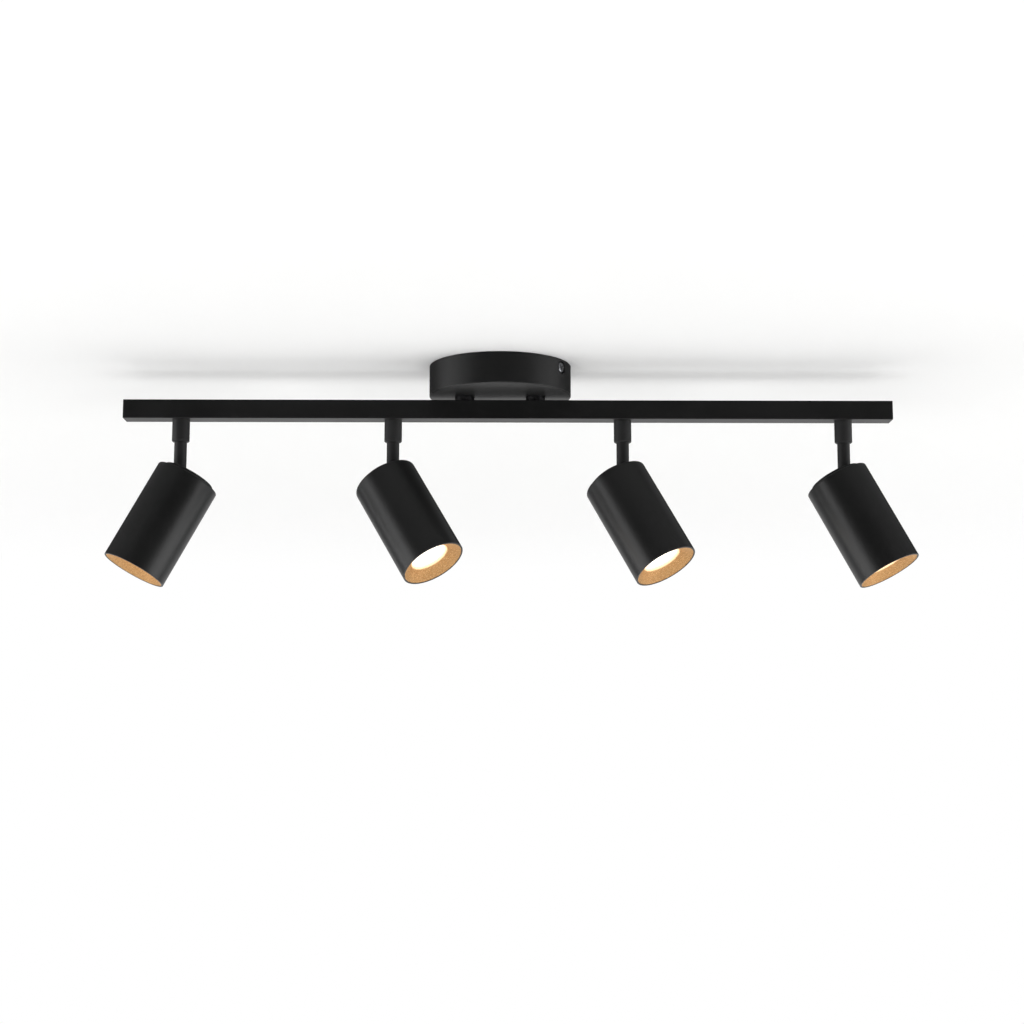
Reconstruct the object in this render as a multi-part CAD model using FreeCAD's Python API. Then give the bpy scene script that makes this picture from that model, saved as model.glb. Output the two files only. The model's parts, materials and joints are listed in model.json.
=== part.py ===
import FreeCAD, Part
import math, os

# Ceiling spotlight bar: a round canopy on the ceiling, a rectangular bar hung
# 4 mm below it on two hollow studs, and four cylindrical heads, each on a thin
# stem that swivels in a collar and carries the head on a tilt pivot.
# Frame: millimetres, +Z up, X along the bar, -Y towards the front of the room.
# Origin: centre of the canopy in the ceiling plane. Everything hangs to -Z.

V = FreeCAD.Vector
os.makedirs("parts", exist_ok=True)

# ---------------------------------------------------------------- dimensions
# canopy and ceiling bracket
CANOPY_R = 60.0
CANOPY_H = 26.0
CANOPY_T = 1.0
CANOPY_EDGE_R = 0.9
BRACKET_AZ = -30.5          # bracket direction about +Z, measured from +X
BRACKET_W = 24.0
BRACKET_T = 1.5
BRACKET_HALF = 55.9
TAB_W = 14.0
TAB_DROP = 12.5
FIX_PCD = 70.0              # ceiling screw holes
FIX_HOLE_R = 2.6
SIDE_SCREW_Z = -6.6
DIMPLE_R = 5.4
DIMPLE_FLOOR_R = 57.6       # distance of the dimple floor from the canopy axis

# hollow studs that hang the bar
STUD_X = 30.0
STUD_SHOULDER_R = 8.2
GAP = 4.0
THREAD_R = 4.95             # M10x1
THREAD_HOLE_R = 5.0
STUD_BORE_R = 3.5

# bar
BAR_L = 650.0
BAR_X = 7.0                 # the bar hangs this far along +X from the canopy axis
BAR_W = 18.0
BAR_H = 16.0
BAR_WALL = 1.5
END_CAP_T = 2.0
BAR_TOP = -(CANOPY_H + GAP)
BAR_BOT = BAR_TOP - BAR_H

# swivel collar and stem
COLLAR_R = 7.4
COLLAR_L = 19.0
COLLAR_BORE_R = 5.36
STEM_R = 5.3
STEM_BORE_R = 3.25
STEM_TOP = BAR_BOT - 3.0
GROOVE_Z = BAR_BOT - 9.0
GROOVE_HALF = 1.0
GROOVE_R = 4.4
LAND_HALF_DEG = 8.5         # swivel stop: the groove stops at this land

# head, in its own axes: pivot at the origin, mouth towards -Z
PIVOT_Z = -108.5
HEAD_R = 27.5
HEAD_WALL = 1.4
BACK = 14.0                 # back rim above the pivot
HEAD_L = 90.0
MOUTH = BACK - HEAD_L
CAP_R = 26.02
CAP_DISC_R = 22.0
CAP_PROUD = 3.0
SLOT_W = 11.6
SLOT_HALF = 20.5           # lets the head tilt 38 degrees each way
LUG_IN = 7.4
LUG_OUT = 9.7
LAMP_APERTURE_R = 15.3
LINER_DEPTH = 8.0
LINER_T = 0.8
LAMP_FRONT = MOUTH + LINER_DEPTH + 0.9
LEAD_R = 1.5

# name, X position, tilt from straight down, pan about +Z from +X
HEADS = [("1", -270.0, 28.4, 197.0),
         ("2", -90.5, 34.5, -34.5),
         ("3", 103.8, 32.0, -33.5),
         ("4", 291.0, 28.3, -22.5)]


# ---------------------------------------------------------------- helpers
def cyl(r, z0, z1, x=0.0, y=0.0):
    return Part.makeCylinder(r, z1 - z0, V(x, y, z0), V(0, 0, 1))


def cyl_y(r, y0, y1, x=0.0, z=0.0):
    return Part.makeCylinder(r, y1 - y0, V(x, y0, z), V(0, 1, 0))


def cyl_x(r, x0, x1, y=0.0, z=0.0):
    return Part.makeCylinder(r, x1 - x0, V(x0, y, z), V(1, 0, 0))


def box(x0, x1, y0, y1, z0, z1):
    return Part.makeBox(x1 - x0, y1 - y0, z1 - z0, V(x0, y0, z0))


def revolve(pts):
    """Solid of revolution about Z from (r, z) points."""
    p = [V(r, 0, z) for r, z in pts]
    w = Part.makePolygon(p + [p[0]])
    return Part.Face(w).revolve(V(0, 0, 0), V(0, 0, 1), 360)


def fuse(*shapes):
    s = shapes[0]
    for t in shapes[1:]:
        s = s.fuse(t)
    return s.removeSplitter()


def only_solid(s):
    sol = s.Solids
    if len(sol) == 1:
        return sol[0]
    return Part.makeCompound(sol)


def edges_at(shape, test):
    out = []
    for e in shape.Edges:
        c = e.CenterOfMass
        if test(e, c):
            out.append(e)
    return out


def circle_edges(shape, r, z, tol=0.02):
    out = []
    for e in shape.Edges:
        if hasattr(e.Curve, "Radius") and abs(e.Curve.Radius - r) < tol:
            if abs(e.BoundBox.ZMin - z) < tol and abs(e.BoundBox.ZMax - z) < tol:
                out.append(e)
    return out


def hexagon(af, z0, z1, x=0.0, y=0.0):
    r = af / math.sqrt(3.0)
    p = [V(x + r * math.cos(math.radians(60 * i)), y + r * math.sin(math.radians(60 * i)), z0) for i in range(7)]
    return Part.Face(Part.makePolygon(p)).extrude(V(0, 0, z1 - z0))


def cross_recess(size, width, depth):
    """Cross recess cut down from z = 0."""
    a = box(-size, size, -width / 2, width / 2, -depth, 0.5)
    b = box(-width / 2, width / 2, -size, size, -depth, 0.5)
    return a.fuse(b)


def pan_screw(head_r, head_h, shank_r, length, recess=True):
    """Screw along -Z: top of the head at z = 0, tip at -(head_h + length)."""
    h = cyl(head_r, -head_h, 0)
    h = h.makeFillet(head_h * 0.45, circle_edges(h, head_r, 0))
    if recess:
        h = h.cut(cross_recess(head_r * 0.55, head_r * 0.22, head_h * 0.55))
    s = cyl(shank_r, -(head_h + length), -head_h)
    s = s.makeChamfer(min(0.5, shank_r * 0.3), circle_edges(s, shank_r, -(head_h + length)))
    return fuse(h, s)


def to_axis(shape, direction, point):
    """Turn +Z to direction and move the origin to point."""
    s = shape.copy()
    d = V(direction)
    d.normalize()
    rot = FreeCAD.Rotation(V(0, 0, 1), d)
    s.Placement = FreeCAD.Placement(V(point), rot).multiply(s.Placement)
    return s


def tube_path(points, radii):
    """Straight runs joined by tangent arcs. Returns wire, length, start point, start direction."""
    pts = [V(*p) for p in points]
    segs, length, cur = [], 0.0, pts[0]
    for i in range(1, len(pts) - 1):
        a, b, c = pts[i - 1], pts[i], pts[i + 1]
        u = (a - b)
        u.normalize()
        w = (c - b)
        w.normalize()
        ang = math.acos(max(-1, min(1, u.dot(w))))      # inner angle
        half = ang / 2.0
        R = radii[i - 1]
        t = R / math.tan(half)
        p1 = b + u * t
        p2 = b + w * t
        bis = (u + w)
        bis.normalize()
        centre = b + bis * (R / math.sin(half))
        mid = centre - bis * R
        segs.append(Part.LineSegment(cur, p1).toShape())
        segs.append(Part.Arc(p1, mid, p2).toShape())
        length += (p1 - cur).Length + R * (math.pi - ang)
        cur = p2
    segs.append(Part.LineSegment(cur, pts[-1]).toShape())
    length += (pts[-1] - cur).Length
    d = pts[1] - pts[0]
    d.normalize()
    return Part.Wire(segs), length, pts[0], d


def tube(points, radii, r, name):
    wire, length, p0, d = tube_path(points, radii)
    prof = Part.Wire([Part.Circle(p0, d, r).toShape()])
    ps = Part.BRepOffsetAPI.MakePipeShell(wire)
    ps.setFrenetMode(False)
    ps.add(prof, False, False)
    ps.build()
    ps.makeSolid()
    s = ps.shape()
    want = math.pi * r * r * length
    print("%s: length %.1f mm, radii %s, volume ratio %.4f" % (name, length, [round(q, 1) for q in radii], s.Volume / want))
    return s


def export(name, shape):
    sol = shape.Solids
    assert len(sol) >= 1, name
    for s in sol:
        assert s.isValid() and s.Volume > 0, name
    out = sol[0] if len(sol) == 1 else Part.makeCompound(sol)
    out.exportStep("parts/%s.step" % name)
    print("%-22s solids %2d volume %10.1f" % (name, len(sol), sum(s.Volume for s in sol)))


# ---------------------------------------------------------------- ceiling bracket
def make_bracket():
    strip = box(-BRACKET_HALF, BRACKET_HALF, -BRACKET_W / 2, BRACKET_W / 2, -BRACKET_T, 0)
    vert = edges_at(strip, lambda e, c: abs(abs(c.x) - BRACKET_HALF) < 0.01 and abs(abs(c.y) - BRACKET_W / 2) < 0.01)
    strip = strip.makeFillet(4.0, vert)
    parts = [strip]
    tab_out = DIMPLE_FLOOR_R - CANOPY_T - 0.05
    for s in (-1, 1):
        x0, x1 = sorted((s * (tab_out - BRACKET_T), s * tab_out))
        parts.append(box(x0, x1, -TAB_W / 2, TAB_W / 2, -TAB_DROP, 0))
    b = fuse(*parts)
    # square the strip's ends off behind the tabs
    b = b.common(box(-tab_out, tab_out, -BRACKET_W, BRACKET_W, -TAB_DROP - 1, 1))
    for s in (-1, 1):
        b = b.cut(cyl(FIX_HOLE_R, -3, 1, s * FIX_PCD / 2, 0))
        b = b.cut(cyl_x(2.0, min(s * 50, s * 60), max(s * 50, s * 60), 0, SIDE_SCREW_Z))
    b = b.cut(cyl(2.0, -3, 1, -18, 0))          # earth screw thread
    b.rotate(V(0, 0, 0), V(0, 0, 1), BRACKET_AZ)
    return b


# ---------------------------------------------------------------- canopy
def radial(az):
    return V(math.cos(math.radians(az)), math.sin(math.radians(az)), 0)


def make_canopy():
    c = cyl(CANOPY_R, -CANOPY_H, 0)
    c = c.makeFillet(CANOPY_EDGE_R, circle_edges(c, CANOPY_R, -CANOPY_H))
    inner = cyl(CANOPY_R - CANOPY_T, -CANOPY_H + CANOPY_T, 1)
    c = c.cut(inner)
    inside = cyl(CANOPY_R - CANOPY_T / 2, -CANOPY_H + CANOPY_T / 2, 0)
    for az in (BRACKET_AZ, BRACKET_AZ + 180):
        d = radial(az)
        boss = Part.makeCylinder(DIMPLE_R + 0.9, 6, d * (DIMPLE_FLOOR_R - CANOPY_T) + V(0, 0, SIDE_SCREW_Z), d)
        c = c.fuse(boss.common(inside))
    for az in (BRACKET_AZ, BRACKET_AZ + 180):
        d = radial(az)
        pocket = Part.makeCylinder(DIMPLE_R, 8, d * DIMPLE_FLOOR_R + V(0, 0, SIDE_SCREW_Z), d)
        hole = Part.makeCylinder(2.25, 12, d * 52 + V(0, 0, SIDE_SCREW_Z), d)
        c = c.cut(pocket).cut(hole)
    for s in (-1, 1):
        c = c.cut(cyl(THREAD_R + 0.15, -CANOPY_H - 1, -CANOPY_H + 3, s * STUD_X, 0))
    return c.removeSplitter()


def make_side_screws():
    out = []
    for az in (BRACKET_AZ, BRACKET_AZ + 180):
        d = radial(az)
        s = pan_screw(4.3, 2.0, 1.95, 8.0)
        out.append(to_axis(s, d, d * (DIMPLE_FLOOR_R + 2.0) + V(0, 0, SIDE_SCREW_Z)))
    return Part.makeCompound(out)


# ---------------------------------------------------------------- terminals
TB_X, TB_Y, TB_Z0, TB_Z1 = 17.0, 8.0, -25.0, -12.0
TB_WIRE_Z = -19.0
LEAD_WAYS = [-12.6, -4.2, 4.2, 12.6]
SUPPLY_WAYS = [-10.0, 0.0, 10.0]


def make_terminal_block():
    b = box(-TB_X, TB_X, -TB_Y, TB_Y, TB_Z0, TB_Z1)
    b = b.makeChamfer(0.6, edges_at(b, lambda e, c: abs(c.z - TB_Z1) < 0.01 or (abs(abs(c.x) - TB_X) < 0.01 and abs(abs(c.y) - TB_Y) < 0.01)))
    for x in LEAD_WAYS:
        b = b.cut(cyl_y(LEAD_R + 0.15, -TB_Y - 1, -TB_Y + 5, x, TB_WIRE_Z))
        b = b.cut(cyl(1.75, TB_Z1 - 4, TB_Z1 + 1, x, -4.2))
    for x in SUPPLY_WAYS:
        b = b.cut(cyl_y(1.7, TB_Y - 5, TB_Y + 1, x, TB_WIRE_Z))
        b = b.cut(cyl(1.75, TB_Z1 - 4, TB_Z1 + 1, x, 4.2))
    for x in (-8.4, 0, 8.4):
        b = b.cut(box(x - 0.5, x + 0.5, -TB_Y - 1, -TB_Y + 1.2, TB_Z0 - 1, TB_Z1 + 1))
    return b


def make_terminal_screws():
    out = []
    for x, y in [(x, -4.2) for x in LEAD_WAYS] + [(x, 4.2) for x in SUPPLY_WAYS]:
        s = cyl(1.65, TB_Z1 - 3.8, TB_Z1 - 1.0, x, y)
        s = s.cut(box(x - 2, x + 2, y - 0.3, y + 0.3, TB_Z1 - 1.9, TB_Z1))
        out.append(s)
    return Part.makeCompound(out)


def earth_point():
    d = radial(BRACKET_AZ)
    return d * (-18.0)


def make_earth_screw():
    s = pan_screw(3.6, 2.2, 1.95, 5.0)
    p = earth_point()
    return to_axis(s, V(0, 0, -1), V(p.x, p.y, -BRACKET_T - 0.9 - 2.2))


def make_earth_lead():
    p = earth_point()
    # ring tongue under the screw head, then the insulated lead to the terminal block
    ring = cyl(3.8, -BRACKET_T - 0.9, -BRACKET_T - 0.1, p.x, p.y).cut(cyl(2.1, -5, 1, p.x, p.y))
    barrel_y = p.y + 8.0
    tongue = box(p.x - 1.2, p.x + 1.2, p.y + 3.2, barrel_y, -BRACKET_T - 0.9, -BRACKET_T - 0.1)
    barrel = cyl_y(1.4, barrel_y - 1.0, barrel_y + 4.0, p.x, -BRACKET_T - 1.5)
    pts = [(p.x, barrel_y + 3.0, -BRACKET_T - 1.5), (p.x, 31.0, -BRACKET_T - 1.5), (p.x + 6, 34.0, -11.0),
           (0.0, 30.0, TB_WIRE_Z), (0.0, TB_Y - 4.0, TB_WIRE_Z)]
    lead = tube(pts, [4.5, 5.0, 5.0], 1.1, "earth_lead")
    return fuse(ring, tongue, barrel, lead)


# ---------------------------------------------------------------- studs and nuts
def make_studs():
    out = []
    for s in (-1, 1):
        x = s * STUD_X
        sh = cyl(STUD_SHOULDER_R, BAR_TOP, -CANOPY_H, x, 0)
        sh = sh.makeChamfer(0.3, circle_edges(sh, STUD_SHOULDER_R, BAR_TOP) + circle_edges(sh, STUD_SHOULDER_R, -CANOPY_H))
        up = cyl(THREAD_R, -CANOPY_H, -CANOPY_H + 6.5, x, 0)
        dn = cyl(THREAD_R, BAR_TOP - 4.4, BAR_TOP, x, 0)
        st = fuse(sh, up, dn).cut(cyl(STUD_BORE_R, BAR_TOP - 6, -CANOPY_H + 8, x, 0))
        out.append(st)
    return Part.makeCompound(out)


def make_stud_nuts():
    out = []
    for s in (-1, 1):
        x = s * STUD_X
        z0 = -CANOPY_H + CANOPY_T
        n = hexagon(14.0, z0, z0 + 4.0, x, 0)
        cone = revolve([(0, z0 - 1), (9.4, z0 - 1), (9.4, z0 + 2.6), (7.2, z0 + 4.0), (0, z0 + 4.0)])
        cone.translate(V(x, 0, 0))
        n = n.common(cone).cut(cyl(THREAD_HOLE_R, z0 - 1, z0 + 5, x, 0))
        out.append(n)
    return Part.makeCompound(out)


# ---------------------------------------------------------------- bar
def make_bar():
    L = BAR_L / 2 - END_CAP_T
    b = box(BAR_X - L, BAR_X + L, -BAR_W / 2, BAR_W / 2, BAR_BOT, BAR_TOP)
    b = b.makeFillet(0.45, edges_at(b, lambda e, c: abs(c.x - BAR_X) < 0.01))
    w = BAR_WALL
    b = b.cut(box(BAR_X - L - 1, BAR_X + L + 1, -BAR_W / 2 + w, BAR_W / 2 - w, BAR_BOT + w, BAR_TOP - w))
    for s in (-1, 1):
        b = b.fuse(cyl(6.4, BAR_TOP - w - 3.0, BAR_TOP - w + 0.5, s * STUD_X, 0))
    for _, x, _, _ in HEADS:
        b = b.fuse(cyl(6.4, BAR_BOT + w - 0.5, BAR_BOT + w + 3.0, x, 0))
    for s in (-1, 1):
        b = b.cut(cyl(THREAD_HOLE_R, BAR_TOP - 8, BAR_TOP + 1, s * STUD_X, 0))
    for _, x, _, _ in HEADS:
        b = b.cut(cyl(THREAD_HOLE_R, BAR_BOT - 1, BAR_BOT + 8, x, 0))
    return b.removeSplitter()


def make_end_cap(s):
    L = BAR_L / 2
    x0, x1 = sorted((s * (L - END_CAP_T), s * L))
    plate = box(x0, x1, -BAR_W / 2, BAR_W / 2, BAR_BOT, BAR_TOP)
    plate = plate.makeFillet(0.45, edges_at(plate, lambda e, c: abs(c.x - s * (L - END_CAP_T / 2)) < 0.01 or abs(c.x - s * L) < 0.01))
    w = BAR_WALL + 0.08
    p0, p1 = sorted((s * (L - END_CAP_T - 9.0), s * (L - END_CAP_T + 0.2)))
    plug = box(p0, p1, -BAR_W / 2 + w, BAR_W / 2 - w, BAR_BOT + w, BAR_TOP - w)
    q0, q1 = sorted((s * (L - END_CAP_T - 10.0), s * (L - END_CAP_T)))
    plug = plug.cut(box(q0, q1, -BAR_W / 2 + w + 1.4, BAR_W / 2 - w - 1.4, BAR_BOT + w + 1.4, BAR_TOP - w - 1.4))
    c = fuse(plate, plug)
    c.translate(V(BAR_X, 0, 0))
    return c


# ---------------------------------------------------------------- collars
def make_collar(x):
    z0 = BAR_BOT - COLLAR_L
    c = cyl(COLLAR_R, z0, BAR_BOT, x, 0)
    c = c.makeChamfer(0.8, circle_edges(c, COLLAR_R, z0))
    c = c.fuse(cyl(THREAD_R, BAR_BOT - 0.5, BAR_BOT + 4.4, x, 0))
    c = c.cut(cyl(COLLAR_BORE_R, z0 - 1, STEM_TOP + 0.4, x, 0))
    c = c.cut(cyl(3.4, z0, BAR_BOT + 6, x, 0))
    c = c.cut(cyl_y(1.5, 3, 9, x, GROOVE_Z))
    return c.removeSplitter()


def make_grub_screws():
    out = []
    for _, x, _, _ in HEADS:
        g = fuse(cyl_y(0.8, GROOVE_R + 0.2, 5.6, x, GROOVE_Z), cyl_y(1.47, 5.45, 7.05, x, GROOVE_Z))
        hexa = hexagon(1.5, 0, 2)
        hexa.rotate(V(0, 0, 0), V(1, 0, 0), -90)
        hexa.translate(V(x, 6.05, GROOVE_Z))
        g = g.cut(hexa)
        out.append(g)
    return Part.makeCompound(out)


# ---------------------------------------------------------------- stem (own axes: pivot at the origin)
def make_stem():
    top = STEM_TOP - PIVOT_Z
    s = cyl(STEM_R, 0, top)
    s = s.makeChamfer(0.4, circle_edges(s, STEM_R, top))
    blk = box(-6.5, 6.5, -6.9, 6.9, -4.5, 5.0).common(cyl_y(7.5, -8, 8))
    s = s.fuse(blk)
    gz = GROOVE_Z - PIVOT_Z
    ring = cyl(STEM_R + 1, gz - GROOVE_HALF, gz + GROOVE_HALF).cut(cyl(GROOVE_R, gz - 2, gz + 2))
    a = math.radians(LAND_HALF_DEG)
    wedge = Part.Face(Part.makePolygon([V(0, 0, gz - 2), V(12 * math.cos(a), -12 * math.sin(a), gz - 2),
                                        V(12 * math.cos(a), 12 * math.sin(a), gz - 2), V(0, 0, gz - 2)])).extrude(V(0, 0, 4))
    s = s.cut(ring.cut(wedge))
    s = s.cut(cyl(STEM_BORE_R, -12, top + 1))
    # the bore flares below the pivot so the lead can lean with the head
    pts = [V(2.3, -2.4, 0.6), V(6.4, -2.4, -5.0), V(-6.4, -2.4, -5.0), V(-2.3, -2.4, 0.6), V(2.3, -2.4, 0.6)]
    s = s.cut(Part.Face(Part.makePolygon(pts)).extrude(V(0, 4.8, 0)))
    s = s.cut(cyl_y(2.03, -8, 8))
    return s.removeSplitter()


def make_pivot_fixings():
    out = []
    for s in (-1, 1):
        sc = pan_screw(3.6, 2.2, 2.0, 5.1)
        out.append(to_axis(sc, V(0, s, 0), V(0, s * (LUG_OUT + 0.05 + 2.2), 0)))
        y0, y1 = sorted((s * 6.96, s * 7.34))
        out.append(cyl_y(5.0, y0, y1).cut(cyl_y(2.15, -9, 9)))
    return Part.makeCompound(out)


# ---------------------------------------------------------------- head pieces (own axes)
def make_shell():
    s = cyl(HEAD_R, MOUTH, BACK).cut(cyl(HEAD_R - HEAD_WALL, MOUTH - 1, BACK + 1))
    s = s.makeFillet(1.0, circle_edges(s, HEAD_R, BACK))
    s = s.makeFillet(0.35, circle_edges(s, HEAD_R, MOUTH))
    return s


POSTS = [(13.0, 11.0), (-13.0, -11.0)]
HOLDER_TOP = -9.5


def make_back_cap():
    fl = cyl(CAP_R, BACK - 3.0, BACK - 0.5)
    disc = cyl(CAP_DISC_R, BACK - 1.0, BACK + CAP_PROUD)
    disc = disc.makeFillet(0.5, circle_edges(disc, CAP_DISC_R, BACK + CAP_PROUD))
    c = fl.fuse(disc)
    for s in (-1, 1):
        y0, y1 = sorted((s * LUG_IN, s * LUG_OUT))
        c = c.fuse(box(-6.0, 6.0, y0, y1, 0, BACK - 2.5)).fuse(cyl_y(6.0, y0, y1))
    for x, y in POSTS:
        c = c.fuse(cyl(3.25, HOLDER_TOP + 0.02, BACK - 2.5, x, y))
    slot = box(-SLOT_HALF + SLOT_W / 2, SLOT_HALF - SLOT_W / 2, -SLOT_W / 2, SLOT_W / 2, BACK - 4, BACK + 4)
    slot = slot.fuse(cyl(SLOT_W / 2, BACK - 4, BACK + 4, SLOT_HALF - SLOT_W / 2, 0)).fuse(cyl(SLOT_W / 2, BACK - 4, BACK + 4, -SLOT_HALF + SLOT_W / 2, 0))
    c = c.cut(slot)
    c = c.cut(cyl_y(2.06, -12, 12))
    for x, y in POSTS:
        c = c.cut(cyl(1.5, HOLDER_TOP - 1, HOLDER_TOP + 9, x, y))
    return c.removeSplitter()


def make_holder():
    body = cyl(13.5, HOLDER_TOP - 11.5, HOLDER_TOP)
    body = body.makeFillet(0.8, circle_edges(body, 13.5, HOLDER_TOP - 11.5) + circle_edges(body, 13.5, HOLDER_TOP))
    ang = math.degrees(math.atan2(POSTS[0][1], POSTS[0][0]))
    rad = math.hypot(*POSTS[0])
    ear = box(-rad, rad, -3.8, 3.8, HOLDER_TOP - 4.0, HOLDER_TOP)
    ear = ear.fuse(cyl(3.8, HOLDER_TOP - 4.0, HOLDER_TOP, rad, 0)).fuse(cyl(3.8, HOLDER_TOP - 4.0, HOLDER_TOP, -rad, 0))
    ear.rotate(V(0, 0, 0), V(0, 0, 1), ang)
    b = body.fuse(ear)
    for x, y in POSTS:
        b = b.cut(cyl(1.7, HOLDER_TOP - 6, HOLDER_TOP + 1, x, y))
    b = b.cut(cyl(1.75, HOLDER_TOP - 4.0, HOLDER_TOP + 1))
    for s in (-1, 1):
        b = b.cut(cyl(2.7, HOLDER_TOP - 13, HOLDER_TOP - 5.0, 0, s * 5.0))
    return b.removeSplitter()


def make_holder_screws():
    out = []
    for x, y in POSTS:
        s = pan_screw(2.75, 2.0, 1.42, 11.0)
        out.append(to_axis(s, V(0, 0, -1), V(x, y, HOLDER_TOP - 4.0 - 0.02 - 2.0)))
    return Part.makeCompound(out)


def make_lamp():
    base = HOLDER_TOP - 12.0
    f = LAMP_FRONT
    prof = [(0, base), (14.0, base), (14.6, base - 1.0), (14.6, base - 6.0), (17.0, base - 10.0), (21.5, base - 18.0),
            (24.0, base - 25.0), (24.7, base - 30.0), (24.7, f + 1.2), (24.0, f + 0.3), (21.4, f + 0.3), (21.4, f + 3.0), (0, f + 3.0)]
    b = revolve(prof)
    for s in (-1, 1):
        b = b.fuse(cyl(1.6, base - 1.0, base + 6.2, 0, s * 5.0)).fuse(cyl(2.45, base + 4.2, base + 6.2, 0, s * 5.0))
    return b.removeSplitter()


def make_lens():
    f = LAMP_FRONT
    l = cyl(21.3, f, f + 2.95)
    return l.makeFillet(0.6, circle_edges(l, 21.3, f))


def make_reflector():
    a, r_out, r_lip = LAMP_APERTURE_R, 26.04, 25.5
    z, rim = MOUTH + LINER_DEPTH, MOUTH + 0.3
    # the cone's back runs parallel to its front, LINER_T behind it
    n = math.hypot(r_lip - a, z - rim)
    r1, z1 = a + LINER_T * (z - rim) / n, z + LINER_T * (r_lip - a) / n
    z2 = z1 - (r_out - 0.7 - r1) * (z - rim) / (r_lip - a)
    return revolve([(a, z), (r_lip, rim), (r_out, rim), (r_out, MOUTH + 10.5), (r_out - 0.7, MOUTH + 10.5),
                    (r_out - 0.7, z2), (r1, z1)])


# ---------------------------------------------------------------- placing
def place_head(shape, x, tilt, pan):
    s = shape.copy()
    s.rotate(V(0, 0, 0), V(0, -1, 0), tilt)
    s.rotate(V(0, 0, 0), V(0, 0, 1), pan)
    s.translate(V(x, 0, PIVOT_Z))
    return s


def place_stem(shape, x, pan):
    s = shape.copy()
    s.rotate(V(0, 0, 0), V(0, 0, 1), pan)
    s.translate(V(x, 0, PIVOT_Z))
    return s


def axis_of(tilt, pan):
    t, p = math.radians(tilt), math.radians(pan)
    return V(math.sin(t) * math.cos(p), math.sin(t) * math.sin(p), -math.cos(t))


def make_lead(i, x, tilt, pan):
    """Two-core lead: lampholder, stem bore, bar, hollow stud, terminal block."""
    s = -1 if x < 0 else 1
    a = axis_of(tilt, pan)
    p0 = V(x, 0, PIVOT_Z) + a * (-HOLDER_TOP + 3.5)
    zb = -38.0
    outer = i in (0, 3)
    way = LEAD_WAYS[i]
    pts = [(p0.x, p0.y, p0.z), (x, 0, PIVOT_Z), (x, 0, zb)]
    rad = [min(18.0, 5.2 / math.tan(math.radians(tilt / 2))), 7.0]
    if outer:
        pts += [(x - s * 36.0, -3.8, zb), (s * 62.0, -3.8, zb), (s * STUD_X, -1.62, zb)]
        rad += [25.0, 25.0, 7.0]
    else:
        pts += [(s * 62.0, 1.62, zb), (s * STUD_X, 1.62, zb)]
        rad += [25.0, 7.0]
    y = -1.62 if outer else 1.62
    if outer:
        pts += [(s * STUD_X, y, -11.5), (way, -20.0, -11.5), (way, -22.0, TB_WIRE_Z), (way, -TB_Y + 4.0, TB_WIRE_Z)]
        rad += [4.5, 3.6, 3.6]
    else:
        pts += [(s * STUD_X, y, -6.5), (way, -15.0, -6.5), (way, -16.5, TB_WIRE_Z), (way, -TB_Y + 4.0, TB_WIRE_Z)]
        rad += [4.5, 4.0, 3.6]
    return tube(pts, rad, LEAD_R, "lead_%d" % (i + 1))


# ---------------------------------------------------------------- build
export("mounting_bracket", make_bracket())
export("canopy", make_canopy())
export("canopy_side_screws", make_side_screws())
export("terminal_block", make_terminal_block())
export("terminal_screws", make_terminal_screws())
export("earth_screw", make_earth_screw())
export("earth_lead", make_earth_lead())
export("canopy_studs", make_studs())
export("stud_nuts", make_stud_nuts())
export("bar_body", make_bar())
export("end_cap_left", make_end_cap(-1))
export("end_cap_right", make_end_cap(1))
export("collar_grub_screws", make_grub_screws())

stem, fixings = make_stem(), make_pivot_fixings()
shell, cap = make_shell(), make_back_cap()
holder, hscrews = make_holder(), make_holder_screws()
lamp, lens, refl = make_lamp(), make_lens(), make_reflector()

for i, (n, x, tilt, pan) in enumerate(HEADS):
    export("swivel_collar_" + n, make_collar(x))
    export("stem_" + n, place_stem(stem, x, pan))
    export("pivot_fixings_" + n, place_stem(fixings, x, pan))
    export("head_shell_" + n, place_head(shell, x, tilt, pan))
    export("back_cap_" + n, place_head(cap, x, tilt, pan))
    export("lampholder_" + n, place_head(holder, x, tilt, pan))
    export("holder_screws_" + n, place_head(hscrews, x, tilt, pan))
    export("lamp_body_" + n, place_head(lamp, x, tilt, pan))
    export("lamp_lens_" + n, place_head(lens, x, tilt, pan))
    export("reflector_" + n, place_head(refl, x, tilt, pan))
    export("lead_" + n, make_lead(i, x, tilt, pan))
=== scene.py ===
import bpy, bmesh, json, math
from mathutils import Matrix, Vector


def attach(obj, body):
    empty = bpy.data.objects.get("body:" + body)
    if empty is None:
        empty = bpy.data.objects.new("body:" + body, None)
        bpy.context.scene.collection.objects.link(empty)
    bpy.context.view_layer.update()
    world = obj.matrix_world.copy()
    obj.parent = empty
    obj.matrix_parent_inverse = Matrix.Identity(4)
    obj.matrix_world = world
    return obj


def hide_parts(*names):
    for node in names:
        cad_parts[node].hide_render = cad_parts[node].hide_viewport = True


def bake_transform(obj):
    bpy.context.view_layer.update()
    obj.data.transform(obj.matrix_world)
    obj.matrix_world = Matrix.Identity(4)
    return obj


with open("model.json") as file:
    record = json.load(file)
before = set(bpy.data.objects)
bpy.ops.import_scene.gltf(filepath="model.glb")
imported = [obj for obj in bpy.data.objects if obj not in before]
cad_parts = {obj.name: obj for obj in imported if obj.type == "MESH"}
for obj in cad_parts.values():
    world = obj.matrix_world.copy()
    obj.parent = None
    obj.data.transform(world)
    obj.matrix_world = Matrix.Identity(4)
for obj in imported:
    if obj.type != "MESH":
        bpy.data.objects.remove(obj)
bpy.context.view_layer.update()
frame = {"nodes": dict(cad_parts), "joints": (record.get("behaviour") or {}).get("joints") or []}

NODES = frame["nodes"]
SCN = bpy.context.scene

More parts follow.
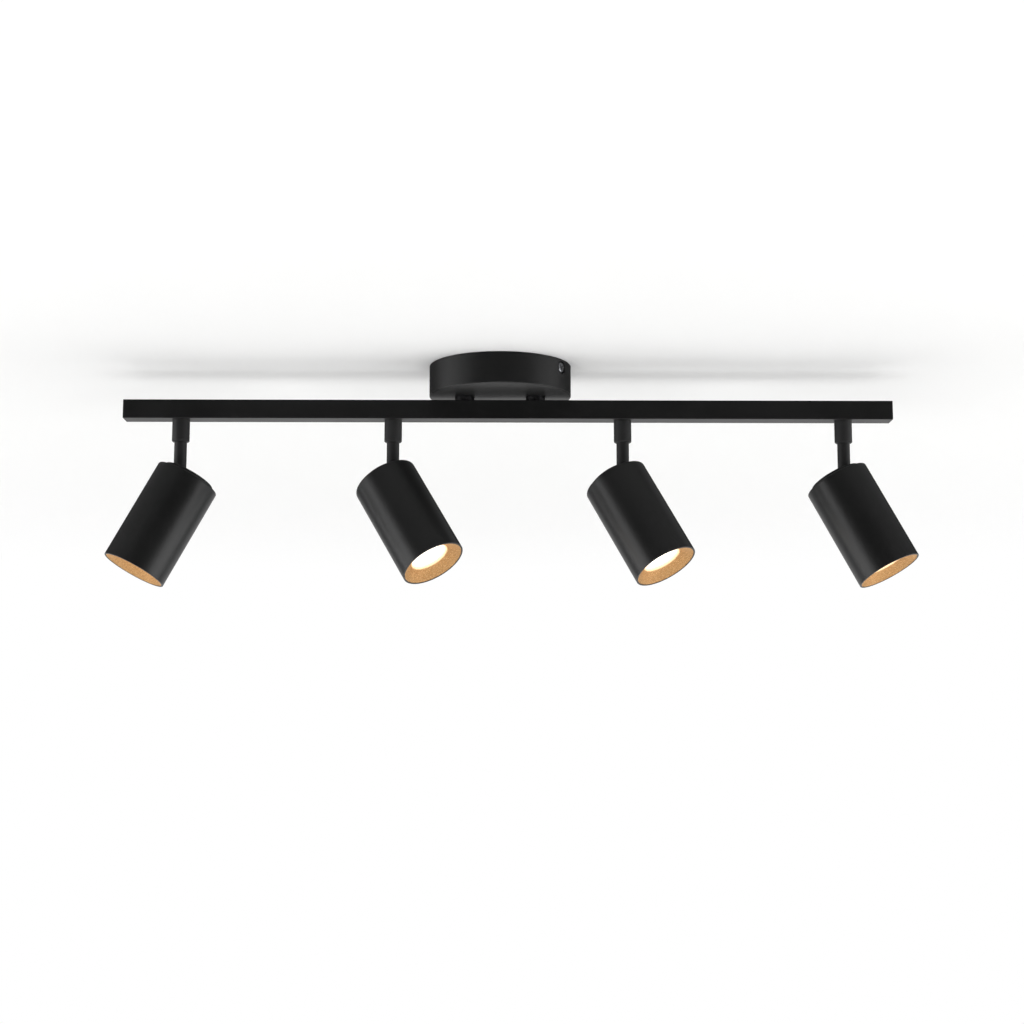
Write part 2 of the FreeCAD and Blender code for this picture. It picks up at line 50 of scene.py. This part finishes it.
# tilt from straight down and pan about +Z of each head as it hangs at rest
HEADS = {"1": (28.4, 197.0), "2": (34.5, -34.5), "3": (32.0, -33.5), "4": (28.3, -22.5)}


def pivot(k):
    """The tilt pivot of head k, read from its joint."""
    for j in frame["joints"]:
        if j["name"] == "tilt_" + k:
            return Vector(j["pos_m"])


# ------------------------------------------------------------------ node helpers
class Tree:
    """Small wrapper that keeps a material's node code short."""

    def __init__(self, name):
        self.mat = bpy.data.materials.new(name)
        self.mat.use_nodes = True
        self.nt = self.mat.node_tree
        self.nt.nodes.clear()
        self.out = self.add("ShaderNodeOutputMaterial")
        self.bsdf = self.add("ShaderNodeBsdfPrincipled")
        self.nt.links.new(self.bsdf.outputs[0], self.out.inputs["Surface"])
        self.coord = self.add("ShaderNodeTexCoord").outputs["Object"]

    def add(self, kind, **props):
        n = self.nt.nodes.new(kind)
        for key, value in props.items():
            setattr(n, key, value)
        return n

    def put(self, socket, value):
        if isinstance(value, bpy.types.NodeSocket):
            self.nt.links.new(value, socket)
        else:
            socket.default_value = value

    def local(self, k):
        """Coordinates in head k's own axes: pivot at the origin, mouth towards -Z."""
        tilt, pan = HEADS[k]
        m = self.add("ShaderNodeMapping", vector_type="TEXTURE")
        self.put(m.inputs["Vector"], self.coord)
        m.inputs["Location"].default_value = pivot(k)
        m.inputs["Rotation"].default_value = (0.0, math.radians(-tilt), math.radians(pan))
        return m.outputs[0]

    def noise(self, scale, detail=2.0, rough=0.5, vec=None, distortion=0.0):
        n = self.add("ShaderNodeTexNoise")
        self.put(n.inputs["Vector"], vec or self.coord)
        n.inputs["Scale"].default_value = scale
        n.inputs["Detail"].default_value = detail
        n.inputs["Roughness"].default_value = rough
        n.inputs["Distortion"].default_value = distortion
        return n.outputs["Fac"]

    def voronoi(self, scale, vec=None, feature="SMOOTH_F1"):
        n = self.add("ShaderNodeTexVoronoi", feature=feature)
        self.put(n.inputs["Vector"], vec or self.coord)
        n.inputs["Scale"].default_value = scale
        if feature == "SMOOTH_F1":
            n.inputs["Smoothness"].default_value = 0.6
        return n.outputs["Distance"]

    def math(self, op, a, b=0.0, c=None, clamp=False):
        n = self.add("ShaderNodeMath", operation=op, use_clamp=clamp)
        self.put(n.inputs[0], a)
        self.put(n.inputs[1], b)
        if c is not None:
            self.put(n.inputs[2], c)
        return n.outputs[0]

    def vmath(self, op, a, b=(0, 0, 0)):
        n = self.add("ShaderNodeVectorMath", operation=op)
        self.put(n.inputs[0], a)
        self.put(n.inputs[1], b)
        return n.outputs["Value"] if op in ("DOT_PRODUCT", "LENGTH", "DISTANCE") else n.outputs["Vector"]

    def split(self, vec):
        n = self.add("ShaderNodeSeparateXYZ")
        self.put(n.inputs[0], vec)
        return n.outputs[0], n.outputs[1], n.outputs[2]

    def remap(self, value, a, b, c, d, smooth=False):
        n = self.add("ShaderNodeMapRange", interpolation_type="SMOOTHSTEP" if smooth else "LINEAR")
        self.put(n.inputs["Value"], value)
        for key, v in (("From Min", a), ("From Max", b), ("To Min", c), ("To Max", d)):
            n.inputs[key].default_value = v
        return n.outputs["Result"]

    def ramp(self, value, stops):
        n = self.add("ShaderNodeValToRGB")
        r = n.color_ramp
        while len(r.elements) > 1:
            r.elements.remove(r.elements[-1])
        r.elements[0].position, r.elements[0].color = stops[0][0], (*stops[0][1], 1)
        for pos, col in stops[1:]:
            e = r.elements.new(pos)
            e.color = (*col, 1)
        self.put(n.inputs[0], value)
        return n.outputs["Color"]

    def mix(self, fac, a, b):
        n = self.add("ShaderNodeMix", data_type="RGBA")
        self.put(n.inputs["Factor"], fac)
        for key, v in ((6, a), (7, b)):
            self.put(n.inputs[key], v if isinstance(v, bpy.types.NodeSocket) else (*v, 1))
        return n.outputs[2]

    def bump(self, height, distance, strength=1.0, normal=None):
        n = self.add("ShaderNodeBump")
        n.inputs["Strength"].default_value = strength
        n.inputs["Distance"].default_value = distance
        self.put(n.inputs["Height"], height)
        if normal is not None:
            self.put(n.inputs["Normal"], normal)
        return n.outputs[0]

    def edge(self, radius):
        """1 along outer and inner edges, 0 on open faces."""
        bev = self.add("ShaderNodeBevel", samples=4)
        bev.inputs["Radius"].default_value = radius
        geo = self.add("ShaderNodeNewGeometry")
        d = self.vmath("DOT_PRODUCT", bev.outputs[0], geo.outputs["Normal"])
        return self.remap(d, 0.995, 0.90, 0.0, 1.0)

    def set(self, **values):
        for key, v in values.items():
            self.put(self.bsdf.inputs[key.replace("_", " ")], v)
        return self


# ------------------------------------------------------------------ finishes
def powder_coat(name, dark, light, rough, grain=1.0, edge_r=0.0005, vec_of=None):
    """Matte fine-texture powder coat: tight orange-peel grain, faint cloudiness, and a painted highlight along the
    edges, which are also less rough.
    """
    t = Tree(name)
    v = t.local(vec_of) if vec_of else t.coord
    cloud = t.noise(26.0, 3.0, 0.55, v)
    peel = t.voronoi(1500.0, v)
    fine = t.noise(3600.0, 2.5, 0.6, v)
    speck = t.remap(t.noise(5200.0, 0.0, 0.5, v), 0.70, 0.80, 0.0, 1.0)
    highlight_patches = t.remap(t.noise(90.0, 4.0, 0.6, v), 0.45, 0.75, 0.0, 1.0)
    base = t.mix(t.remap(cloud, 0.3, 0.7, 0.0, 1.0), dark, light)
    base = t.mix(t.math("MULTIPLY", speck, 0.35), base, tuple(c * 3.2 for c in light))
    # painted highlight: the edges are lightened in uneven patches, standing in for the light line they catch
    e = t.edge(edge_r)
    edge_highlight = t.math("MULTIPLY", e, t.remap(highlight_patches, 0.0, 1.0, 0.35, 0.8))
    base = t.mix(edge_highlight, base, tuple(c * 2.6 for c in light))
    r = t.math("ADD", t.remap(fine, 0.25, 0.75, rough - 0.06, rough + 0.06), t.remap(cloud, 0.3, 0.7, -0.02, 0.03))
    r = t.math("SUBTRACT", r, t.math("MULTIPLY", e, 0.08))
    b = t.bump(peel, 0.00006 * grain, 0.55)
    b = t.bump(fine, 0.00003 * grain, 0.6, b)
    t.set(Base_Color=base, Roughness=r, Normal=b)
    t.bsdf.inputs["Specular IOR Level"].default_value = 0.5
    return t.mat


def head_coat(name, k, dark, light, rough):
    """Satin black coat on the drawn aluminium tube: finer grain than the bar, with very faint rings from turning under it."""
    t = Tree(name)
    v = t.local(k)
    x, y, z = t.split(v)
    cloud = t.noise(22.0, 3.0, 0.5, v)
    fine = t.noise(4200.0, 2.0, 0.6, v)
    peel = t.voronoi(1900.0, v)
    rings = t.add("ShaderNodeCombineXYZ")
    t.put(rings.inputs[2], z)
    ring = t.noise(1100.0, 2.0, 0.5, rings.outputs[0])
    smudge = t.remap(t.noise(60.0, 5.0, 0.62, v, 0.6), 0.50, 0.72, 0.0, 1.0)
    base = t.mix(t.remap(cloud, 0.3, 0.7, 0.0, 1.0), dark, light)
    # painted highlight: the edges are lightened
    e = t.edge(0.0006)
    base = t.mix(t.math("MULTIPLY", e, 0.6), base, tuple(c * 2.8 for c in light))
    r = t.remap(fine, 0.25, 0.75, rough - 0.04, rough + 0.05)
    r = t.math("ADD", r, t.math("MULTIPLY", smudge, 0.035))
    r = t.math("SUBTRACT", r, t.math("MULTIPLY", e, 0.08))
    b = t.bump(peel, 0.00004, 0.45)
    b = t.bump(ring, 0.000012, 0.35, b)
    b = t.bump(fine, 0.00002, 0.5, b)
    t.set(Base_Color=base, Roughness=r, Normal=b)
    t.bsdf.inputs["Specular IOR Level"].default_value = 0.5
    return t.mat


def cap_coat(name, k):
    """The die-cast back cap: same black, a touch coarser and flatter, with a slight cast waviness."""
    t = Tree(name)
    v = t.local(k)
    cloud = t.noise(34.0, 3.0, 0.5, v)
    wave = t.noise(240.0, 2.0, 0.5, v)
    fine = t.noise(3000.0, 3.0, 0.65, v)
    base = t.mix(t.remap(cloud, 0.3, 0.7, 0.0, 1.0), (0.0052, 0.0052, 0.0054), (0.0074, 0.0074, 0.0076))
    # painted highlight: the edges are lightened
    e = t.edge(0.0005)
    base = t.mix(t.math("MULTIPLY", e, 0.55), base, (0.028, 0.028, 0.029))
    r = t.remap(fine, 0.25, 0.75, 0.50, 0.62)
    b = t.bump(wave, 0.00008, 0.3)
    b = t.bump(fine, 0.00004, 0.6, b)
    t.set(Base_Color=base, Roughness=r, Normal=b)
    return t.mat


def gold_liner(name, k):
    """Matte gold coat in the mouth: coarse sandy grain, and a painted glow, as emission, on the part nearest to the
    lamp.
    """
    t = Tree(name)
    v = t.local(k)
    x, y, z = t.split(v)
    rad = t.math("SQRT", t.math("ADD", t.math("MULTIPLY", x, x), t.math("MULTIPLY", y, y)))
    depth = t.remap(rad, 0.0153, 0.0256, 0.0, 1.0)
    grain = t.noise(1500.0, 3.0, 0.75, v)
    sand = t.voronoi(900.0, v)
    pit = t.remap(t.noise(2600.0, 1.0, 0.5, v), 0.56, 0.70, 0.0, 1.0)
    cloud = t.noise(120.0, 3.0, 0.55, v)
    ringv = t.add("ShaderNodeCombineXYZ")
    t.put(ringv.inputs[0], rad)
    t.put(ringv.inputs[2], z)
    ring = t.noise(2600.0, 1.0, 0.5, ringv.outputs[0])
    base = t.mix(depth, (0.66, 0.350, 0.125), (0.66, 0.375, 0.145))
    base = t.mix(t.remap(grain, 0.40, 0.60, 0.0, 0.90), base, (0.36, 0.175, 0.058))
    base = t.mix(t.remap(sand, 0.10, 0.50, 0.60, 0.0), base, (0.90, 0.62, 0.30))
    base = t.mix(t.math("MULTIPLY", pit, 0.5), base, (0.20, 0.09, 0.03))
    base = t.mix(t.remap(cloud, 0.35, 0.7, 0.0, 0.18), base, (0.44, 0.24, 0.09))
    r = t.remap(grain, 0.3, 0.7, 0.50, 0.66)
    b = t.bump(sand, 0.00014, 0.6)
    b = t.bump(grain, 0.00008, 0.7, b)
    b = t.bump(ring, 0.00002, 0.4, b)
    t.set(Base_Color=base, Roughness=r, Normal=b)
    t.bsdf.inputs["Metallic"].default_value = 0.45
    # painted glow: the liner next to the lamp gives off warm-white light of its own, standing in for the lamp's light
    # on it and its glint
    painted_lamp_glow = t.remap(rad, 0.0155, 0.0172, 1.0, 0.0, True)
    painted_lamp_glow = t.math("MULTIPLY", painted_lamp_glow, t.remap(grain, 0.35, 0.65, 1.15, 0.75))
    t.bsdf.inputs["Emission Color"].default_value = (1.0, 0.80, 0.52, 1.0)
    t.put(t.bsdf.inputs["Emission Strength"], t.math("MULTIPLY", painted_lamp_glow, 1.3))
    return t.mat


def lens_glow(name, k):
    """Frosted lamp face, lit: brightest over the chips, warm towards its rim, with the lens's fine prisms."""
    t = Tree(name)
    v = t.local(k)
    x, y, z = t.split(v)
    rad = t.math("SQRT", t.math("ADD", t.math("MULTIPLY", x, x), t.math("MULTIPLY", y, y)))
    prism = t.voronoi(420.0, v, "F1")
    frost = t.noise(2400.0, 2.0, 0.6, v)
    rings = t.math("SINE", t.math("MULTIPLY", rad, 5200.0))
    glow = t.ramp(t.remap(rad, 0.0, 0.0158, 0.0, 1.0),
                  [(0.0, (1.0, 0.94, 0.82)), (0.60, (1.0, 0.90, 0.74)), (0.84, (1.0, 0.80, 0.55)), (1.0, (1.0, 0.56, 0.24))])
    glow = t.mix(t.remap(prism, 0.0, 0.6, 0.0, 0.16), glow, (1.0, 0.76, 0.46))
    power = t.math("MULTIPLY", t.remap(rad, 0.0, 0.0156, 3.4, 1.1, True), t.remap(prism, 0.0, 0.7, 1.05, 0.90))
    base = t.mix(t.remap(frost, 0.3, 0.7, 0.0, 1.0), (0.86, 0.85, 0.81), (0.93, 0.92, 0.88))
    b = t.bump(prism, 0.0003, 0.5)
    b = t.bump(rings, 0.00003, 0.4, b)
    b = t.bump(frost, 0.00003, 0.5, b)
    t.set(Base_Color=base, Roughness=t.remap(frost, 0.3, 0.7, 0.28, 0.40), Normal=b)
    t.put(t.bsdf.inputs["Emission Color"], glow)
    t.put(t.bsdf.inputs["Emission Strength"], power)
    return t.mat


def zinc(name, level=1.0):
    """Bright zinc plate: blue-white metal with fine roll marks and a soft spangle. A lower level is a duller plate."""
    t = Tree(name)
    m = t.add("ShaderNodeMapping")
    t.put(m.inputs["Vector"], t.coord)
    m.inputs["Scale"].default_value = (140.0, 2600.0, 2600.0)
    m.inputs["Rotation"].default_value = (0.0, 0.0, math.radians(30.5))
    lines = t.noise(1.0, 3.0, 0.6, m.outputs[0])
    spangle = t.voronoi(330.0, None, "F1")
    stain = t.noise(70.0, 4.0, 0.6)
    pale, deep, dim = ([level * c for c in col] for col in ((0.66, 0.67, 0.70), (0.52, 0.53, 0.56), (0.55, 0.52, 0.44)))
    base = t.mix(t.remap(spangle, 0.0, 0.7, 0.0, 1.0), pale, deep)
    base = t.mix(t.remap(stain, 0.5, 0.75, 0.0, 0.35), base, dim)
    r = t.math("ADD", t.remap(lines, 0.3, 0.7, 0.24, 0.40), t.remap(stain, 0.4, 0.7, 0.0, 0.08))
    t.set(Base_Color=base, Roughness=r, Normal=t.bump(lines, 0.00002, 0.4))
    t.bsdf.inputs["Metallic"].default_value = 1.0
    return t.mat


def black_oxide(name):
    """Black oxide on turned steel: dark, oily, with fine turning lines and a painted highlight along the edges."""
    t = Tree(name)
    m = t.add("ShaderNodeMapping")
    t.put(m.inputs["Vector"], t.coord)
    m.inputs["Scale"].default_value = (900.0, 900.0, 5200.0)
    lines = t.noise(1.0, 2.0, 0.6, m.outputs[0])
    patch = t.noise(420.0, 4.0, 0.6)
    # painted highlight: the edges are lightened
    e = t.edge(0.0003)
    base = t.mix(t.remap(patch, 0.35, 0.7, 0.0, 1.0), (0.016, 0.016, 0.018), (0.034, 0.033, 0.035))
    base = t.mix(t.math("MULTIPLY", e, 0.35), base, (0.10, 0.10, 0.11))
    t.set(Base_Color=base, Roughness=t.remap(patch, 0.3, 0.7, 0.36, 0.52), Normal=t.bump(lines, 0.00002, 0.5))
    t.bsdf.inputs["Metallic"].default_value = 0.6
    return t.mat


def moulded(name, dark, light, rough, grain=2600.0, depth=0.00003):
    """Moulded plastic with a spark-eroded grain."""
    t = Tree(name)
    cloud = t.noise(60.0, 3.0, 0.5)
    fine = t.noise(grain, 3.0, 0.6)
    cells = t.voronoi(grain * 0.5)
    base = t.mix(t.remap(cloud, 0.3, 0.7, 0.0, 1.0), dark, light)
    # painted highlight: the edges are lightened
    e = t.edge(0.0004)
    base = t.mix(t.math("MULTIPLY", e, 0.4), base, tuple(min(1.0, c * 1.6 + 0.004) for c in light))
    t.set(Base_Color=base, Roughness=t.remap(fine, 0.3, 0.7, rough - 0.06, rough + 0.06),
          Normal=t.bump(fine, depth, 0.5, t.bump(cells, depth, 0.5)))
    return t.mat


def steatite(name):
    """Unglazed white steatite: off-white, chalky, with pinholes that are sunk in and painted darker grey as shade."""
    t = Tree(name)
    cloud = t.noise(140.0, 4.0, 0.6)
    fine = t.noise(2000.0, 4.0, 0.7)
    pinholes_and_their_shade = t.remap(t.voronoi(900.0, None, "F1"), 0.06, 0.16, 1.0, 0.0)
    base = t.mix(t.remap(cloud, 0.3, 0.7, 0.0, 1.0), (0.80, 0.785, 0.735), (0.88, 0.87, 0.835))
    # painted shade: the pinholes are darker as well as sunk in
    base = t.mix(t.math("MULTIPLY", pinholes_and_their_shade, 0.5), base, (0.52, 0.50, 0.46))
    h = t.math("SUBTRACT", fine, pinholes_and_their_shade)
    t.set(Base_Color=base, Roughness=t.remap(fine, 0.3, 0.7, 0.62, 0.80), Normal=t.bump(h, 0.00006, 0.5))
    return t.mat


def turned_brass(name):
    """Turned brass with fine lines and a little tarnish."""
    t = Tree(name)
    m = t.add("ShaderNodeMapping")
    t.put(m.inputs["Vector"], t.coord)
    m.inputs["Scale"].default_value = (700.0, 700.0, 6000.0)
    lines = t.noise(1.0, 2.0, 0.6, m.outputs[0])
    tarnish = t.noise(520.0, 4.0, 0.6)
    base = t.mix(t.remap(tarnish, 0.4, 0.75, 0.0, 1.0), (0.78, 0.57, 0.26), (0.52, 0.34, 0.14))
    t.set(Base_Color=base, Roughness=t.remap(tarnish, 0.3, 0.7, 0.22, 0.42), Normal=t.bump(lines, 0.00002, 0.5))
    t.bsdf.inputs["Metallic"].default_value = 1.0
    return t.mat


def silicone(name):
    """Black silicone sheath: soft sheen, faint extrusion ripple and lint."""
    t = Tree(name)
    ripple = t.noise(700.0, 2.0, 0.5)
    fine = t.noise(3400.0, 2.0, 0.6)
    lint = t.remap(t.noise(1500.0, 3.0, 0.7), 0.66, 0.74, 0.0, 1.0)
    base = t.mix(t.remap(ripple, 0.3, 0.7, 0.0, 1.0), (0.016, 0.016, 0.017), (0.026, 0.026, 0.027))
    base = t.mix(t.math("MULTIPLY", lint, 0.4), base, (0.11, 0.11, 0.11))
    t.set(Base_Color=base, Roughness=t.remap(fine, 0.3, 0.7, 0.50, 0.64), Normal=t.bump(ripple, 0.00008, 0.4))
    return t.mat


def earth_sheath(name):
    """Green sheath with a yellow stripe wound round it, and the tinned ring terminal at its end."""
    t = Tree(name)
    x, y, z = t.split(t.coord)
    w = t.add("ShaderNodeTexWave", wave_type="BANDS", bands_direction="DIAGONAL", wave_profile="SIN")
    t.put(w.inputs["Vector"], t.coord)
    w.inputs["Scale"].default_value = 62.0
    w.inputs["Distortion"].default_value = 0.4
    stripe = t.remap(w.outputs["Fac"], 0.44, 0.56, 0.0, 1.0)
    fine = t.noise(2600.0, 2.0, 0.6)
    sheath = t.mix(stripe, (0.025, 0.21, 0.035), (0.74, 0.60, 0.025))
    sheath = t.mix(t.remap(fine, 0.3, 0.7, 0.0, 0.15), sheath, (0.10, 0.16, 0.03))
    near = t.math("LESS_THAN", y, 0.0211)
    high = t.math("GREATER_THAN", z, -0.0046)
    metal = t.math("MULTIPLY", near, high)
    tin = t.mix(t.remap(t.noise(800.0, 3.0, 0.6), 0.3, 0.7, 0.0, 1.0), (0.60, 0.60, 0.61), (0.74, 0.74, 0.75))
    t.set(Base_Color=t.mix(metal, sheath, tin), Metallic=metal,
          Roughness=t.math("ADD", t.remap(fine, 0.3, 0.7, 0.36, 0.50), t.math("MULTIPLY", metal, -0.06)),
          Normal=t.bump(fine, 0.00002, 0.4))
    return t.mat


COAT = {
    "canopy": powder_coat("canopy_coat", (0.0056, 0.0056, 0.0058), (0.0078, 0.0078, 0.0080), 0.47, 0.8),
    "bar": powder_coat("bar_coat", (0.0044, 0.0044, 0.0046), (0.0064, 0.0064, 0.0066), 0.46, 0.8),
    "collar": powder_coat("collar_coat", (0.0090, 0.0090, 0.0094), (0.0150, 0.0150, 0.0154), 0.56, 1.6, 0.0004),
    "stem": powder_coat("stem_coat", (0.0090, 0.0090, 0.0094), (0.0140, 0.0140, 0.0144), 0.54, 1.3, 0.0004),
}
ZINC = zinc("zinc_plate")
DULL_ZINC = zinc("dull_zinc_plate", 0.70)
OXIDE = black_oxide("black_oxide")
END = moulded("end_cap_plastic", (0.0052, 0.0052, 0.0054), (0.0074, 0.0074, 0.0076), 0.52)
BLOCK = moulded("terminal_plastic", (0.74, 0.74, 0.71), (0.82, 0.82, 0.79), 0.42, 2200.0)
LAMP = moulded("lamp_plastic", (0.74, 0.74, 0.72), (0.80, 0.80, 0.78), 0.40, 2400.0)
STEATITE = steatite("steatite")
BRASS = turned_brass("turned_brass")
SILICONE = silicone("silicone_sheath")
EARTH = earth_sheath("earth_sheath")

FINISH = {
    "mounting_bracket": ZINC, "canopy": COAT["canopy"], "canopy_side_screws": DULL_ZINC,
    "terminal_block": BLOCK, "terminal_screws": BRASS, "earth_screw": BRASS, "earth_lead": EARTH,
    "canopy_studs": OXIDE, "stud_nuts": ZINC, "bar_body": COAT["bar"],
    "end_cap_left": END, "end_cap_right": END, "collar_grub_screws": OXIDE,
}
for k in HEADS:
    FINISH["swivel_collar_" + k] = COAT["collar"]
    FINISH["lead_" + k] = SILICONE
    FINISH["stem_" + k] = COAT["stem"]
    FINISH["pivot_fixings_" + k] = OXIDE
    FINISH["head_shell_" + k] = head_coat("head_coat_" + k, k, (0.0046, 0.0046, 0.0048), (0.0064, 0.0064, 0.0066), 0.40)
    FINISH["back_cap_" + k] = cap_coat("cap_coat_" + k, k)
    FINISH["lampholder_" + k] = STEATITE
    FINISH["holder_screws_" + k] = ZINC
    FINISH["lamp_body_" + k] = LAMP
    FINISH["lamp_lens_" + k] = lens_glow("lens_glow_" + k, k)
    FINISH["reflector_" + k] = gold_liner("gold_liner_" + k, k)

for name, obj in NODES.items():
    for s in obj.material_slots:
        s.material = FINISH[name]


# ------------------------------------------------------------------ leads
def cut_copy(node, name, z_lo, z_hi, rings=()):
    """A closed copy of a CAD node's mesh between two heights, with extra rings of vertices across it."""
    bm = bmesh.new()
    bm.from_mesh(NODES[node].data)
    bmesh.ops.remove_doubles(bm, verts=bm.verts, dist=1e-6)
    for z, sign in ((z_lo, -1), (z_hi, 1)):
        if z is None:
            continue
        geom = bm.verts[:] + bm.edges[:] + bm.faces[:]
        cut = bmesh.ops.bisect_plane(bm, geom=geom, dist=1e-7, plane_co=(0, 0, z), plane_no=(0, 0, sign), clear_outer=True)
        rim = [e for e in cut["geom_cut"] if isinstance(e, bmesh.types.BMEdge)]
        bmesh.ops.edgeloop_fill(bm, edges=rim)
    for z in rings:
        geom = bm.verts[:] + bm.edges[:] + bm.faces[:]
        bmesh.ops.bisect_plane(bm, geom=geom, dist=1e-7, plane_co=(0, 0, z), plane_no=(0, 0, 1))
    bmesh.ops.recalc_face_normals(bm, faces=bm.faces)
    me = bpy.data.meshes.new(name)
    bm.to_mesh(me)
    bm.free()
    for p in me.polygons:
        p.use_smooth = True
    me.materials.append(SILICONE)
    o = bpy.data.objects.new(name, me)
    SCN.collection.objects.link(o)
    return o


for k in HEADS:
    p = pivot(k)
    z_cut = p.z + 0.032
    run = cut_copy("lead_" + k, "lead_run_" + k, z_cut, None)
    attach(run, "root")
    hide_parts("lead_" + k)
    tail = cut_copy("lead_" + k, "lead_tail_" + k, None, z_cut - 0.0002, [p.z + 0.012 - 0.0011 * i for i in range(22)])
    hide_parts("lead_" + k)
    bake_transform(tail)


# ------------------------------------------------------------------ stage
def plane(name, size_x, size_y, loc, up=True):
    me = bpy.data.meshes.new(name)
    x, y = size_x / 2, size_y / 2
    v = [(-x, -y, 0), (x, -y, 0), (x, y, 0), (-x, y, 0)]
    me.from_pydata(v, [], [(0, 1, 2, 3) if up else (3, 2, 1, 0)])
    o = bpy.data.objects.new(name, me)
    o.location = loc
    SCN.collection.objects.link(o)
    return o


def ceiling_paint():
    """White ceiling seen from below only, so that a view from above looks past it."""
    m = bpy.data.materials.new("ceiling_paint")
    m.use_nodes = True
    nt = m.node_tree
    nt.nodes.clear()
    N, L = nt.nodes.new, nt.links.new
    out, paint, glow, both = N("ShaderNodeOutputMaterial"), N("ShaderNodeBsdfDiffuse"), N("ShaderNodeEmission"), N("ShaderNodeMixShader")
    clear, side, geo = N("ShaderNodeBsdfTransparent"), N("ShaderNodeMixShader"), N("ShaderNodeNewGeometry")
    tc, dist, fade = N("ShaderNodeTexCoord"), N("ShaderNodeVectorMath"), N("ShaderNodeMapRange")
    tex, bump = N("ShaderNodeTexNoise"), N("ShaderNodeBump")
    dist.operation = "LENGTH"
    L(tc.outputs["Object"], dist.inputs[0])
    L(dist.outputs["Value"], fade.inputs["Value"])
    fade.interpolation_type = "SMOOTHSTEP"
    fade.inputs["From Min"].default_value, fade.inputs["From Max"].default_value = 0.45, 1.5
    tex.inputs["Scale"].default_value = 400.0
    L(tc.outputs["Object"], tex.inputs["Vector"])
    bump.inputs["Distance"].default_value, bump.inputs["Strength"].default_value = 0.0002, 0.2
    L(tex.outputs["Fac"], bump.inputs["Height"])
    L(bump.outputs[0], paint.inputs["Normal"])
    paint.inputs["Color"].default_value = (0.90, 0.90, 0.90, 1)
    glow.inputs["Color"].default_value = (1, 1, 1, 1)
    L(fade.outputs["Result"], both.inputs["Fac"])
    L(paint.outputs[0], both.inputs[1])
    L(glow.outputs[0], both.inputs[2])
    L(geo.outputs["Backfacing"], side.inputs["Fac"])
    L(both.outputs[0], side.inputs[1])
    L(clear.outputs[0], side.inputs[2])
    L(side.outputs[0], out.inputs["Surface"])
    return m


def pale_floor():
    t = Tree("pale_floor")
    n = t.noise(3.0, 3.0)
    t.set(Base_Color=t.mix(t.remap(n, 0.3, 0.7, 0.0, 1.0), (0.82, 0.82, 0.81), (0.86, 0.86, 0.85)), Roughness=t.remap(n, 0.3, 0.7, 0.7, 0.8))
    return t.mat


ceiling = plane("ceiling", 9.0, 9.0, (0, 0, 0.0004), up=False)
ceiling.data.materials.append(ceiling_paint())
ceiling.visible_glossy = False          # the black coat mirrors the softboxes, not the ceiling
floor = plane("floor", 9.0, 9.0, (0, 0, -2.4))
floor.data.materials.append(pale_floor())

world = bpy.data.worlds.new("studio")
SCN.world = world
world.use_nodes = True
bg = world.node_tree.nodes["Background"]
bg.inputs["Color"].default_value = (1, 1, 1, 1)
bg.inputs["Strength"].default_value = 1.0
world.cycles_visibility.diffuse = False
world.cycles_visibility.glossy = False


def softbox(name, loc, at, size_x, size_y, radiance, colour=(1, 1, 1)):
    d = bpy.data.lights.new(name, "AREA")
    d.shape, d.size, d.size_y = "RECTANGLE", size_x, size_y
    d.energy = math.pi * size_x * size_y * radiance
    d.color = colour
    o = bpy.data.objects.new(name, d)
    o.location = loc
    o.rotation_euler = (Vector(at) - Vector(loc)).to_track_quat("-Z", "Y").to_euler()
    o.visible_camera = False
    SCN.collection.objects.link(o)
    return o


softbox("left", (-2.4, -0.22, -0.45), (0, 0, -0.12), 2.4, 1.8, 2.6)
softbox("right", (2.4, -0.22, -0.55), (0, 0, -0.12), 2.4, 1.8, 2.6)
softbox("key", (0.0, -1.75, -2.3), (0, 0, 0), 3.0, 1.8, 1.85)
softbox("behind", (0.0, 3.2, -0.9), (0, 0, -0.3), 6.0, 2.6, 0.82)
top = softbox("above", (0.0, 0.0, 2.2), (0, 0, 0), 8.0, 8.0, 0.33)
free = bpy.data.collections.new("not_in_the_way")
free.objects.link(ceiling)
top.light_linking.blocker_collection = free
for c in free.collection_objects:
    c.light_linking.link_state = "EXCLUDE"

# ------------------------------------------------------------------ camera
cam_data = bpy.data.cameras.new("camera")
cam = bpy.data.objects.new("camera", cam_data)
SCN.collection.objects.link(cam)
cam_data.sensor_width = 36.0
cam_data.lens = 68.02
cam.location = (-0.0012, -1.61098, -0.36545)
cam.rotation_euler = (math.radians(90 + 8.513), math.radians(-0.035), math.radians(-0.409))
cam_data.clip_start, cam_data.clip_end = 0.02, 60.0
SCN.camera = cam

SCN.view_settings.view_transform = "Standard"
SCN.view_settings.look = "None"
